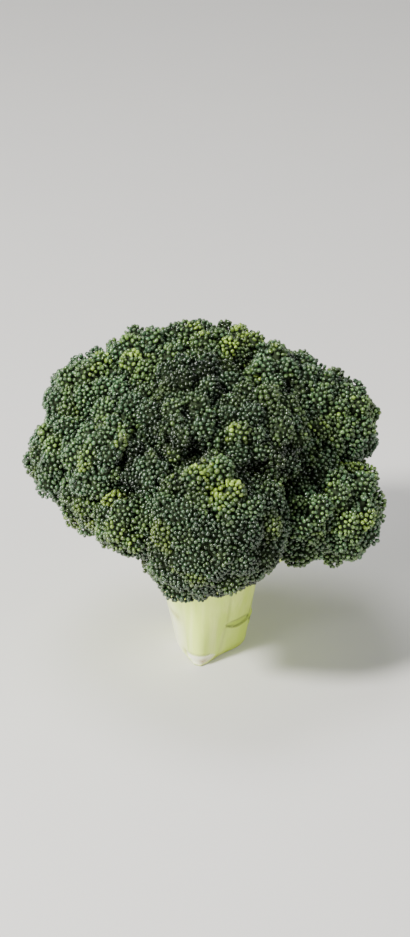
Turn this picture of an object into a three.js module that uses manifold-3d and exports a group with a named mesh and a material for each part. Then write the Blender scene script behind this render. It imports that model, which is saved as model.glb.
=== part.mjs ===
// A broccoli head, as cut and sold: one thick pale stalk that divides into branches, and a domed
// crown of 24 florets, each a tight dome of flower buds on the end of its own branch.
// Millimetres, +Z up. The head stands on the flat cut end of its stalk, which lies on z = 0.
import * as THREE from 'three';
import { ConvexHull } from 'three/addons/math/ConvexHull.js';
import { mergeVertices } from 'three/addons/utils/BufferGeometryUtils.js';
import Module from 'manifold-3d';

const wasm = await Module();
wasm.setup();

// Sizes of the crown. A real bud is about 2 mm wide: these are drawn larger, at BUD_PITCH. Each
// spiral of buds or of clusters starts at a random twist, in radians. SHOULDER is how wide the
// rounding is where a dome turns into its flat sides.
const BUD_PITCH = 5.8;
const BUD_TIP = 1.0;
const BUD_VALLEY = 0.7;
const BUD_UNEVEN = 0.35;
const CLUSTER_PITCH = 14;
const CLUSTER_SPAN = 0.62;
const CLUSTER_RISE = 2.6;
const MOST_TWIST = 6;
const FIRST_SEED = 101;
const SHOULDER = 5;
const UNDERSIDE = 0.42;
const GAP = 0.3;
const HIDDEN_BELOW = 0.9;
const HIDDEN_KEPT = 6;

// Sizes of the stalk. CUT_END is the outline of the cut face, widest at the sides, with one blunt
// corner at the front left, where an old leaf base ran down to the cut.
const CUT_END = [
  [-15.5, 8], [-14, -3.5], [-10, -13], [-4.8, -21], [6, -10.8], [14, -4], [17, 5], [14, 16], [2, 21],
  [-11, 18],
];
const STEM_RADIUS = 16;
const STEM_SIDES = 32;
const STEM_STEP = 6;
const STEM_NECK = 38;
const STEM_TOP = 62;
const STEM_WIDENING = 0.0105;
const STEM_TIP_SCALE = 0.55;
const CUT_BEVEL = 0.8;
const BRANCH_FOOT = new THREE.Vector3(0, 2, 26);
const BRANCH_RISE = 0.34;
const BRANCH_SPREAD = 0.3;
const BRANCH_FOOT_THICKNESS = 0.46;
const BRANCH_THICKNESS = 0.34;
const BRANCH_FLARE = 0.74;
const BRANCH_FLARE_FROM = 0.6;
const BRANCH_SIDES = 8;
const BRANCH_STEPS = 5;

// Where each floret's dome is centred, and its radius.
const FLORETS = {
  front: { at: [1, -34, 87.5], radius: 34 },
  front_right: { at: [39, -25, 82], radius: 17.5 },
  right_low: { at: [52.5, -15, 78], radius: 21.5 },
  right: { at: [38, -8, 93], radius: 19 },
  right_high: { at: [50.5, 16, 104.5], radius: 23 },
  right_back: { at: [44, 38, 84.5], radius: 22 },
  right_mid: { at: [54, 12, 83], radius: 15 },
  top_right: { at: [29, 21, 114], radius: 24 },
  top: { at: [2, 35, 115.5], radius: 26.5 },
  top_left: { at: [-25, 33, 116.5], radius: 24 },
  crest: { at: [-4, 3, 119.5], radius: 23 },
  left_high: { at: [-49, 23, 111], radius: 22 },
  left_top: { at: [-34, -1, 112], radius: 19 },
  left: { at: [-61, -2, 97.5], radius: 18.5 },
  left_low: { at: [-47.5, -18, 90.5], radius: 17.5 },
  left_mid: { at: [-43, -23, 108], radius: 18 },
  left_back: { at: [-55, 20, 87], radius: 20.5 },
  front_left_low: { at: [-31.5, -37, 89], radius: 18 },
  front_left: { at: [-27, -27, 107], radius: 18 },
  front_high: { at: [-13, -20, 119], radius: 18.5 },
  front_right_high: { at: [18, -17, 115], radius: 23 },
  back_left: { at: [-37, 42, 90], radius: 25 },
  back: { at: [2, 50, 92], radius: 27 },
  back_high: { at: [31, 44, 103], radius: 21.5 },
};

// Old leaf bases on the stalk: low half-round ledges, by their side of the stalk, their height
// above the cut, and how wide, tall and proud they are.
const LEAF_BASES = [
  { turn: -36, height: 16.5, width: 17, tall: 5, proud: 1.1 },
  { turn: 8, height: 14, width: 7, tall: 7, proud: 2.2 },
  { turn: -104, height: 4.5, width: 10, tall: 4, proud: 0.8 },
  { turn: 100, height: 9, width: 16, tall: 6, proud: 1.4 },
  { turn: 165, height: 24, width: 13, tall: 6, proud: 1.3 },
];
const LEAF_BASE_ROOT = 3;
const LEAF_BASE_SIDES = 10;
const LEAF_BASE_RINGS = 6;
const LEAF_BASE_REACH = THREE.MathUtils.degToRad(17);

const BUD_COLOUR = 0x3d5a34;
const STALK_COLOUR = 0xc9d69a;

// Repeatable random numbers from 0 to 1.
function randomSource(seed) {
  let state = seed;
  return () => {
    state = (state + 0x6d2b79f5) | 0;
    let value = Math.imul(state ^ (state >>> 15), 1 | state);
    value = (value + Math.imul(value ^ (value >>> 7), 61 | value)) ^ value;
    return ((value ^ (value >>> 14)) >>> 0) / 4294967296;
  };
}

function solidOf(geometry) {
  geometry.deleteAttribute('normal');
  geometry.deleteAttribute('uv');
  const merged = mergeVertices(geometry, 1e-4);
  return new wasm.Manifold(new wasm.Mesh({
    numProp: 3,
    vertProperties: new Float32Array(merged.attributes.position.array),
    triVerts: new Uint32Array(merged.index.array),
  }));
}

function geometryOf(solid) {
  const mesh = solid.getMesh();
  const geometry = new THREE.BufferGeometry();
  geometry.setAttribute('position', new THREE.BufferAttribute(mesh.vertProperties, 3));
  geometry.setIndex(new THREE.BufferAttribute(mesh.triVerts, 1));
  geometry.computeVertexNormals();
  return geometry;
}

// Directions spread evenly over a whole sphere, in a spiral that starts at the axis, as buds grow.
// Each stands in the middle of six neighbours, so one takes up sin 60 degrees of its pitch squared.
function spiralDirections(count, axis, twist) {
  const goldenAngle = Math.PI * (3 - Math.sqrt(5));
  const turn = new THREE.Quaternion().setFromUnitVectors(new THREE.Vector3(0, 0, 1), axis);
  const directions = [];
  for (let n = 0; n < count; n += 1) {
    const height = 1 - (2 * n + 1) / count;
    const across = Math.sqrt(1 - height * height);
    const angle = n * goldenAngle + twist;
    const direction = new THREE.Vector3(across * Math.cos(angle), across * Math.sin(angle), height);
    directions.push(direction.applyQuaternion(turn));
  }
  return directions;
}

function spiralCount(radius, pitch) {
  return Math.round((4 * Math.PI * radius ** 2) / (Math.sin(Math.PI / 3) * pitch ** 2));
}

// Joins two radii with a rounded corner instead of a sharp one, never above the smaller.
function roundedLeast(a, b, rounding) {
  const near = Math.max(rounding - Math.abs(a - b), 0) / rounding;
  return Math.min(a, b) - (near * near * rounding) / 4;
}

// The branch of a floret leaves the stalk upwards and bends out to the dome, which faces along axis.
function layOut([name, { at, radius }], index) {
  const centre = new THREE.Vector3(...at);
  const elbow = BRANCH_FOOT.clone().lerp(centre, BRANCH_SPREAD);
  elbow.z = THREE.MathUtils.lerp(BRANCH_FOOT.z, centre.z, BRANCH_RISE);
  const axis = centre.clone().sub(elbow).normalize();
  return { name, centre, radius, axis, elbow, index };
}

// The flat sides where a floret presses on its neighbours, and its own flat underside, each as an
// outward direction and its distance from the dome's centre.
function pressedSides(floret, all) {
  const sides = [{ out: floret.axis.clone().negate(), distance: UNDERSIDE * floret.radius }];
  for (const other of all) {
    if (other !== floret) {
      const between = other.centre.clone().sub(floret.centre);
      const apart = between.length();
      const distance = (apart ** 2 + floret.radius ** 2 - other.radius ** 2) / (2 * apart);
      sides.push({ out: between.divideScalar(apart), distance: distance - GAP / 2 });
    }
  }
  return sides;
}

function reachOfSides(sides, direction) {
  let reach = Infinity;
  for (const { out, distance } of sides) {
    const along = out.dot(direction);
    if (along > 1e-6) {
      reach = Math.min(reach, distance / along);
    }
  }
  return reach;
}

// Adds the flat sides that keep a floret clear of the stem or of a neighbour's branch, given as
// rings: one for each stretch between two rings that no earlier side keeps it clear of.
function addClearSides(sides, floret, rings) {
  for (let k = 1; k < rings.length; k += 1) {
    const spokes = [...rings[k - 1], ...rings[k]].map((corner) => corner.clone().sub(floret.centre));
    const depth = (out) => Math.min(...spokes.map((spoke) => out.dot(spoke)));
    if (!sides.some(({ out, distance }) => depth(out) >= distance + GAP / 2)) {
      const out = new THREE.Vector3();
      spokes.forEach((spoke) => out.add(spoke));
      out.normalize();
      sides.push({ out, distance: depth(out) - GAP });
    }
  }
}

// Height of the rounded bud clusters above the dome: each is a low cap round its middle direction.
function clusterRise(middles, direction, radius) {
  let closest = -1;
  for (const middle of middles) {
    closest = Math.max(closest, middle.dot(direction));
  }
  const away = radius * Math.acos(Math.min(closest, 1));
  return CLUSTER_RISE * Math.max(0, 1 - (away / (CLUSTER_SPAN * CLUSTER_PITCH)) ** 2);
}

// A closed skin over spiral directions. Every direction is the tip of one bud, and the buds meet in
// valleys between each three neighbours. tipRadius and valleyRadius give the distances from centre.
function buddedSkin(directions, centre, tipRadius, valleyRadius) {
  const hull = new ConvexHull().setFromPoints(directions);
  const cornerOf = new Map(directions.map((direction, n) => [direction, n]));
  const across = new Map();
  const valleys = [];
  const faces = hull.faces.map((face, n) => {
    const corners = [];
    let edge = face.edge;
    do {
      corners.push(cornerOf.get(edge.head().point));
      edge = edge.next;
    } while (edge !== face.edge);
    corners.forEach((corner, k) => across.set(`${corner},${corners[(k + 1) % 3]}`, n));
    const middle = new THREE.Vector3();
    corners.forEach((corner) => middle.add(directions[corner]));
    valleys.push(middle.normalize());
    return corners;
  });
  const points = [
    ...directions.map((direction, n) => direction.clone().multiplyScalar(tipRadius(direction, n))),
    ...valleys.map((direction) => direction.clone().multiplyScalar(valleyRadius(direction))),
  ];
  const index = [];
  faces.forEach((corners, here) => {
    corners.forEach((corner, k) => {
      const there = across.get(`${corners[(k + 1) % 3]},${corner}`);
      index.push(corner, directions.length + there, directions.length + here);
    });
  });
  const geometry = new THREE.BufferGeometry();
  geometry.setAttribute('position', new THREE.Float32BufferAttribute(
    points.flatMap((point) => point.add(centre).toArray()), 3));
  geometry.setIndex(index);
  return geometry;
}

// One floret: a dome of bud clusters, flat where it meets its neighbours and its own branch.
function floretGeometry(floret, all, stem) {
  const { centre, radius, axis, index } = floret;
  const random = randomSource(FIRST_SEED + index);
  const sides = pressedSides(floret, all);
  addClearSides(sides, floret, stem);
  all.filter((other) => other !== floret).forEach((other) => {
    addClearSides(sides, floret, other.branch);
  });
  const clusterTwist = random() * MOST_TWIST;
  const clusters = spiralDirections(spiralCount(radius, CLUSTER_PITCH), axis, clusterTwist);
  const surface = (direction, rise) => roundedLeast(
    radius + clusterRise(clusters, direction, radius) + rise,
    reachOfSides(sides, direction),
    SHOULDER,
  );
  const budTwist = random() * MOST_TWIST;
  const spiral = spiralDirections(spiralCount(radius, BUD_PITCH), axis, budTwist);
  const shown = spiral.filter((direction, n) => (
    reachOfSides(sides, direction) > HIDDEN_BELOW * radius || n % HIDDEN_KEPT === 0));
  return buddedSkin(
    shown,
    centre,
    (direction) => surface(direction, BUD_TIP + (random() - 0.5) * 2 * BUD_UNEVEN),
    (direction) => surface(direction, -BUD_VALLEY),
  );
}

// Closes rings of points, each ring anticlockwise about the way they are stacked, into one skin.
function ringsGeometry(rings) {
  const sides = rings[0].length;
  const points = rings.flat();
  const index = [];
  for (let level = 0; level < rings.length - 1; level += 1) {
    for (let n = 0; n < sides; n += 1) {
      const a = level * sides + n;
      const b = level * sides + ((n + 1) % sides);
      index.push(a, b, b + sides, a, b + sides, a + sides);
    }
  }
  const ends = [rings[0], rings[rings.length - 1]].map((ring) => {
    const middle = new THREE.Vector3();
    ring.forEach((point) => middle.add(point));
    points.push(middle.divideScalar(sides));
    return points.length - 1;
  });
  const last = (rings.length - 1) * sides;
  for (let n = 0; n < sides; n += 1) {
    const next = (n + 1) % sides;
    index.push(ends[0], next, n, ends[1], last + n, last + next);
  }
  const geometry = new THREE.BufferGeometry();
  geometry.setAttribute('position', new THREE.Float32BufferAttribute(
    points.flatMap((point) => point.toArray()), 3));
  geometry.setIndex(index);
  return geometry;
}

// The outline of the cut face, anticlockwise, and the same outline rounded off towards a circle.
function stemOutline(roundness) {
  const corners = CUT_END.map(([x, y]) => new THREE.Vector3(x, y, 0));
  const curve = new THREE.CatmullRomCurve3(corners, true, 'centripetal');
  const middle = new THREE.Vector3(0, BRANCH_FOOT.y, 0);
  return curve.getSpacedPoints(STEM_SIDES).slice(0, STEM_SIDES).map((point) => {
    const spoke = point.sub(middle);
    const length = THREE.MathUtils.lerp(spoke.length(), STEM_RADIUS, roundness);
    return spoke.setLength(length);
  });
}

function stemSection(height) {
  const roundness = THREE.MathUtils.smoothstep(height, 0, STEM_NECK);
  const above = THREE.MathUtils.clamp((height - STEM_NECK) / (STEM_TOP - STEM_NECK), 0, 1);
  const widening = 1 + STEM_WIDENING * Math.min(height, STEM_NECK);
  const scale = widening * THREE.MathUtils.lerp(1, STEM_TIP_SCALE, above * above);
  return stemOutline(roundness).map((spoke) => {
    const point = spoke.clone().multiplyScalar(scale);
    return point.add(new THREE.Vector3(0, BRANCH_FOOT.y, height));
  });
}

function stemRings() {
  const heights = [0, CUT_BEVEL];
  for (let height = STEM_STEP; height <= STEM_TOP; height += STEM_STEP) {
    heights.push(height);
  }
  const rings = heights.map(stemSection);
  rings[0] = rings[0].map((point) => {
    const middle = new THREE.Vector3(0, BRANCH_FOOT.y, 0);
    const spoke = point.sub(middle);
    return spoke.setLength(spoke.length() - CUT_BEVEL).add(middle);
  });
  return rings;
}

// The widest a branch's end can be and stay on its own side of every neighbour.
function branchEndRadius(floret, all, end) {
  let widest = BRANCH_FLARE * floret.radius;
  for (const { out, distance } of pressedSides(floret, all).slice(1)) {
    const tilt = Math.sqrt(Math.max(1 - out.dot(floret.axis) ** 2, 1e-6));
    const room = distance - out.dot(end.clone().sub(floret.centre)) - GAP;
    widest = Math.min(widest, room / tilt);
  }
  return widest;
}

function branchRings(floret, all) {
  const { centre, radius, axis, elbow } = floret;
  const end = centre.clone().addScaledVector(axis, -UNDERSIDE * radius - GAP);
  const path = new THREE.QuadraticBezierCurve3(BRANCH_FOOT, elbow, end);
  const flare = branchEndRadius(floret, all, end);
  const rings = [];
  for (let step = 0; step <= BRANCH_STEPS; step += 1) {
    const share = step / BRANCH_STEPS;
    const widen = THREE.MathUtils.smoothstep(share, BRANCH_FLARE_FROM, 1);
    const taper = THREE.MathUtils.lerp(BRANCH_FOOT_THICKNESS, BRANCH_THICKNESS, Math.min(2 * share, 1));
    const stick = Math.min(taper * radius, flare);
    const thick = THREE.MathUtils.lerp(stick, flare, widen);
    const along = path.getTangent(share);
    const turn = new THREE.Quaternion().setFromUnitVectors(new THREE.Vector3(0, 0, 1), along);
    const ring = [];
    for (let n = 0; n < BRANCH_SIDES; n += 1) {
      const angle = (2 * Math.PI * n) / BRANCH_SIDES;
      const spoke = new THREE.Vector3(Math.cos(angle), Math.sin(angle), 0).multiplyScalar(thick);
      ring.push(spoke.applyQuaternion(turn).add(path.getPoint(share)));
    }
    rings.push(ring);
  }
  return rings;
}

function leafBaseGeometry({ turn, height, width, tall, proud }) {
  const angle = THREE.MathUtils.degToRad(turn);
  const out = new THREE.Vector3(Math.cos(angle), Math.sin(angle), 0);
  const middle = new THREE.Vector3(0, BRANCH_FOOT.y, height);
  const skin = stemSection(height).reduce((best, point) => {
    const spoke = point.clone().sub(middle);
    const faces = spoke.angleTo(out) < LEAF_BASE_REACH;
    return faces && spoke.dot(out) > best.dot(out) ? spoke : best;
  }, new THREE.Vector3());
  const geometry = new THREE.SphereGeometry(1, LEAF_BASE_SIDES, LEAF_BASE_RINGS);
  geometry.scale(proud + LEAF_BASE_ROOT, width / 2, tall / 2);
  geometry.rotateZ(angle);
  const sunk = out.clone().multiplyScalar(skin.dot(out) - LEAF_BASE_ROOT);
  return geometry.translate(...middle.add(sunk).toArray());
}

function stalkSolid(all) {
  let stalk = solidOf(ringsGeometry(stemRings()));
  for (const leafBase of LEAF_BASES) {
    stalk = stalk.add(solidOf(leafBaseGeometry(leafBase)));
  }
  for (const floret of all) {
    stalk = stalk.add(solidOf(ringsGeometry(floret.branch)));
  }
  return stalk;
}

const head = new THREE.Group();
const florets = Object.entries(FLORETS).map(layOut);
for (const floret of florets) {
  floret.branch = branchRings(floret, florets);
}

const stalk = new THREE.Mesh(
  geometryOf(stalkSolid(florets)),
  new THREE.MeshStandardMaterial({ color: STALK_COLOUR, roughness: 0.55, metalness: 0 }),
);
stalk.name = 'stalk';
head.add(stalk);

const stem = stemRings();
for (const floret of florets) {
  const mesh = new THREE.Mesh(
    floretGeometry(floret, florets, stem),
    new THREE.MeshStandardMaterial({ color: BUD_COLOUR, roughness: 0.7, metalness: 0 }),
  );
  mesh.name = `floret_${floret.name}`;
  head.add(mesh);
}

export default head;
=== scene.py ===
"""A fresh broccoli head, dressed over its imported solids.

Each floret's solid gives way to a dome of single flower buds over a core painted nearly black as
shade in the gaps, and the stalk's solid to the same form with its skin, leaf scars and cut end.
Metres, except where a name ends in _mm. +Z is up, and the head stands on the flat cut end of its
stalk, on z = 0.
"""

import logging
import math
from dataclasses import dataclass, field
from enum import Enum

import bpy
import numpy as np
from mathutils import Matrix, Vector


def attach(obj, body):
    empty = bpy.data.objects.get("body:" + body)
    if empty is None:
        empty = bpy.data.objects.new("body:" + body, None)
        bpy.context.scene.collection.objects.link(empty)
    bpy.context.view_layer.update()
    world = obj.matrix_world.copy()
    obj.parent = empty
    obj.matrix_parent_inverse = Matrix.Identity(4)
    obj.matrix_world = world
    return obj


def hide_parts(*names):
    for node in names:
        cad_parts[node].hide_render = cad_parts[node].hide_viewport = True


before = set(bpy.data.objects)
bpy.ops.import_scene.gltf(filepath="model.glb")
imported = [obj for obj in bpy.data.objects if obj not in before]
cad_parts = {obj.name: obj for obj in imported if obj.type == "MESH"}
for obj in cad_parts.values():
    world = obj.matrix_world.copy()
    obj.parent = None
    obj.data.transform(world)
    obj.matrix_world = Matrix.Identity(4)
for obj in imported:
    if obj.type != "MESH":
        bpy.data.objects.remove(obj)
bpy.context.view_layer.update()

MM = 0.001
GOLDEN_ANGLE = math.pi * (3 - math.sqrt(5))
LOG = logging.getLogger("broccoli")

Array = np.ndarray
Colour = tuple[float, float, float, float]
Point = tuple[float, float, float]
Socket = bpy.types.NodeSocket


class Slot(Enum):
    """The record's material slots."""

    BUDS = "buds"
    STALK = "stalk"


class Part(Enum):
    """The two materials of a floret piece, by their index on its mesh."""

    BUD = 0
    CORE = 1


def unit(vectors: Array) -> Array:
    """Vectors scaled to length 1."""
    return vectors / np.linalg.norm(vectors, axis=-1, keepdims=True)


def smoothstep(values: Array, low: float, high: float) -> Array:
    """A soft step.

    Args:
        values: Where the step is read.
        low: The value at which the step starts, at 0.
        high: The value at which the step ends, at 1.

    Returns:
        Numbers from 0 to 1.
    """
    share = np.clip((values - low) / (high - low), 0, 1)
    return share * share * (3 - 2 * share)


def basis_along(axes: Array) -> Array:
    """Right-handed frames whose third direction is given.

    Args:
        axes: Unit vectors, one or many.

    Returns:
        For each axis a 3 by 3 array with the frame's directions as rows.
    """
    helper = np.where(np.abs(axes[..., 2:3]) < 0.9, [0.0, 0.0, 1.0], [1.0, 0.0, 0.0])
    first = unit(np.cross(helper, axes))
    return np.stack([first, np.cross(axes, first), axes], axis=-2)


def spiral_directions(count: int, axis: Array, twist: float) -> Array:
    """Directions spread evenly over a sphere in a spiral that starts at the axis.

    Args:
        count: How many.
        axis: Where the spiral starts.
        twist: Its turn about the axis, in radians.

    Returns:
        The unit directions, one a row.
    """
    height = 1 - (2 * np.arange(count) + 1) / count
    across = np.sqrt(1 - height**2)
    angle = np.arange(count) * GOLDEN_ANGLE + twist
    local = np.stack([across * np.cos(angle), across * np.sin(angle), height], axis=1)
    return local @ basis_along(axis)


def spiral_count(radius_mm: float, pitch_mm: float) -> int:
    """How many points that far apart cover a sphere."""
    return max(8, round(4 * math.pi * radius_mm**2 / (0.866 * pitch_mm**2)))


def thin_out(points: Array, sizes: Array, closeness: float) -> Array:
    """Keeps each point that isn't too close to one kept before it.

    Args:
        points: The candidates, the ones to prefer first.
        sizes: How wide each is.
        closeness: The least distance, as a share of the mean width of two.

    Returns:
        The indices of the kept points.
    """
    kept = []
    free = np.ones(len(points), bool)
    for n in range(len(points)):
        if free[n]:
            kept.append(n)
            least = closeness * (sizes + sizes[n]) / 2
            free &= ((points - points[n]) ** 2).sum(axis=1) > least**2
    return np.array(kept, int)


@dataclass(frozen=True)
class FloretPlace:
    """Where one floret's dome sits, as in its solid, and the look of its buds.

    How yellow and how light they are, the lightness partly their own tone and partly painted light
    and shade, and how calm the dome is below its top: 0 where it is all umbels, 1 where it is smooth.
    """

    name: str
    centre_mm: Point
    radius_mm: float
    yellow: float
    light: float = 1.0
    calm: float = 0.2

    @property
    def centre(self) -> Array:
        """The dome's centre as an array, in millimetres."""
        return np.array(self.centre_mm)


# The light column is partly the florets' own tone and partly painted light and shade.
FLORETS = (
    FloretPlace("front", (1, -34, 87.5), 34, 0.20, 0.68, 0.6),
    FloretPlace("front_right", (39, -25, 82), 17.5, 0.20, 1.30, 0.3),
    FloretPlace("right_low", (52.5, -15, 78), 21.5, 0.30, 1.48, 0.35),
    FloretPlace("right", (38, -8, 93), 19, 0.15, 1.15, 0.2),
    FloretPlace("right_high", (50.5, 16, 104.5), 23, 0.25, 1.20, 0.25),
    FloretPlace("right_back", (44, 38, 84.5), 22, 0.25, 1.00, 0.2),
    FloretPlace("right_mid", (54, 12, 83), 15, 0.25, 1.00, 0.2),
    FloretPlace("top_right", (29, 21, 114), 24, 0.20, 1.05, 0.1),
    FloretPlace("top", (2, 35, 115.5), 26.5, 0.35, 1.10, 0.1),
    FloretPlace("top_left", (-25, 33, 116.5), 24, 0.25, 1.15, 0.1),
    FloretPlace("crest", (-4, 3, 119.5), 23, 0.25, 0.62, 0.0),
    FloretPlace("left_high", (-49, 23, 111), 22, 0.15, 1.20, 0.15),
    FloretPlace("left_top", (-34, -1, 112), 19, 0.15, 0.95, 0.1),
    FloretPlace("left", (-61, -2, 97.5), 18.5, 0.10, 1.08, 0.2),
    FloretPlace("left_low", (-47.5, -18, 90.5), 17.5, 0.30, 0.95, 0.2),
    FloretPlace("left_mid", (-43, -23, 108), 18, 0.20, 1.05, 0.15),
    FloretPlace("left_back", (-55, 20, 87), 20.5, 0.20, 1.00, 0.2),
    FloretPlace("front_left_low", (-31.5, -37, 89), 18, 0.34, 1.00, 0.2),
    FloretPlace("front_left", (-27, -27, 107), 18, 0.10, 0.85, 0.1),
    FloretPlace("front_high", (-13, -20, 119), 18.5, 0.22, 0.72, 0.0),
    FloretPlace("front_right_high", (18, -17, 115), 23, 0.25, 0.80, 0.0),
    FloretPlace("back_left", (-37, 42, 90), 25, 0.25, 1.00, 0.2),
    FloretPlace("back", (2, 50, 92), 27, 0.25, 1.00, 0.25),
    FloretPlace("back_high", (31, 44, 103), 21.5, 0.30, 1.00, 0.2),
)


@dataclass(frozen=True)
class Hollow:
    """A deep shaded place between groups of buds, or a swelling if the depth is below 0.

    Millimetres.
    """

    at: Point
    width: float
    depth: float


HOLLOWS = (
    Hollow((12.3, 20.0, 137.4), 9, 4.5),
    Hollow((5.6, -7.9, 139.9), 9, 5.5),
    Hollow((-1.8, -4.8, 143.1), 8, 4.0),
    Hollow((-9.5, -25.8, 138.3), 8, 5.0),
    Hollow((-24.5, -32.0, 131.0), 13, 6.0),
    Hollow((-18.0, -38.5, 126.0), 12, 6.0),
    Hollow((-6.1, -38.8, 123.5), 11, 6.0),
    Hollow((-29.6, -36.3, 124.5), 9, 5.5),
    Hollow((-36.4, -39.8, 119.2), 9, 5.5),
    Hollow((-36.0, -44.8, 107.7), 8, 5.0),
    Hollow((-60.8, -28.4, 100.1), 8, 4.0),
    Hollow((19.5, -48.0, 115.0), 9, 4.5),
    Hollow((23.9, -41.3, 115.1), 9, 5.5),
    Hollow((39.1, -30.3, 116.7), 10, 6.0),
    Hollow((43.8, -24.1, 105.2), 10, 5.5),
    Hollow((35.1, -29.3, 100.6), 9, 4.0),
    Hollow((35.0, 3.5, 132.2), 9, 4.5),
)

RIM_DENTS = (
    Hollow((19.0, -48.0, 62.0), 16, 5.0),
    Hollow((2.3, -56.1, 61.7), 13, 3.0),
    Hollow((23.0, -51.7, 68.6), 10, 2.5),
    Hollow((-15.0, -49.0, 61.0), 15, -5.0),
    Hollow((-27.3, -45.4, 72.5), 10, -2.5),
    Hollow((32.7, -33.0, 68.0), 11, -4.0),
    Hollow((-78.8, -7.0, 96.2), 14, 5.0),
    Hollow((-72.0, -12.7, 87.1), 10, 2.5),
    Hollow((-38.5, -47.0, 76.1), 15, 5.0),
    Hollow((72.4, -12.8, 85.9), 16, -3.5),
    Hollow((67.1, -24.1, 65.1), 12, -2.5),
    Hollow((-59.2, 29.9, 129.2), 9, 2.5),
    Hollow((-33.6, 40.5, 137.6), 11, 3.0),
    Hollow((6.7, 43.9, 140.0), 12, 4.0),
    Hollow((38.7, 27.8, 134.8), 12, 5.0),
    Hollow((47.8, 23.8, 128.6), 9, -3.0),
    Hollow((-14.8, 40.1, 137.0), 15, -3.2),
    Hollow((63.9, 21.5, 122.4), 10, 2.5),
)


@dataclass(frozen=True)
class RipePlace:
    """Where the buds are larger and yellower, close to opening. Millimetres."""

    at: Point
    width: float
    share: float


RIPE_PLACES = (
    RipePlace((-4.4, -43.0, 122.0), 9, 0.9),
    RipePlace((-3.1, -49.4, 119.8), 9, 1.2),
    RipePlace((3.3, -57.5, 114.7), 9, 1.2),
    RipePlace((4.5, -60.5, 111.6), 8, 0.9),
    RipePlace((9.6, -54.8, 115.6), 9, 1.0),
    RipePlace((11.0, -35.7, 130.1), 8, 0.55),
    RipePlace((-13.7, -33.9, 134.0), 7, 0.45),
    RipePlace((-55.5, -38.2, 111.8), 7, 0.6),
    RipePlace((-33.9, -56.7, 87.0), 8, 0.35),
    RipePlace((20.2, 8.9, 135.3), 8, 0.45),
    RipePlace((-32.8, 24.2, 139.7), 8, 0.45),
    RipePlace((-44.0, 24.7, 134.4), 8, 0.35),
    RipePlace((-4.0, 36.4, 143.3), 10, 0.5),
    RipePlace((52.0, 28.0, 122.0), 9, 0.5),
    RipePlace((8.0, 72.0, 108.0), 10, 0.5),
    RipePlace((-58.0, 40.0, 104.0), 10, 0.5),
)


@dataclass(frozen=True)
class Branching:
    """How a branch leaves the stem for its floret, as in the solids. Millimetres."""

    foot: Point = (0.0, 2.0, 26.0)
    rise: float = 0.34
    spread: float = 0.30
    thickness: float = 0.34

    def elbow(self, place: FloretPlace) -> Array:
        """The point towards which the branch leaves the stem."""
        foot = np.array(self.foot)
        elbow = foot + (place.centre - foot) * self.spread
        elbow[2] = foot[2] + (place.centre[2] - foot[2]) * self.rise
        return elbow

    def axis(self, place: FloretPlace) -> Array:
        """The direction in which the floret's dome faces."""
        return unit(place.centre - self.elbow(place))

    def path(self, place: FloretPlace, underside: float, steps: int) -> Array:
        """Points along the branch.

        Args:
            place: The branch's floret.
            underside: How far below the dome's centre it ends, as a share of the radius.
            steps: How many points.

        Returns:
            The points, one a row, from the foot to the floret.
        """
        end = place.centre - self.axis(place) * underside * place.radius_mm
        share = np.linspace(0, 1, steps)[:, None]
        first = (1 - share) ** 2 * np.array(self.foot)
        return first + 2 * share * (1 - share) * self.elbow(place) + share**2 * end


def first_random(seed: int) -> float:
    """The first number of the repeatable source that the solids take their turns from."""
    whole = 0xFFFFFFFF
    state = (seed + 0x6D2B79F5) & whole
    value = ((state ^ (state >> 15)) * (1 | state)) & whole
    value = ((value + (value ^ (value >> 7)) * (61 | value)) & whole) ^ value
    return (value ^ (value >> 14)) / 2**32


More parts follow.
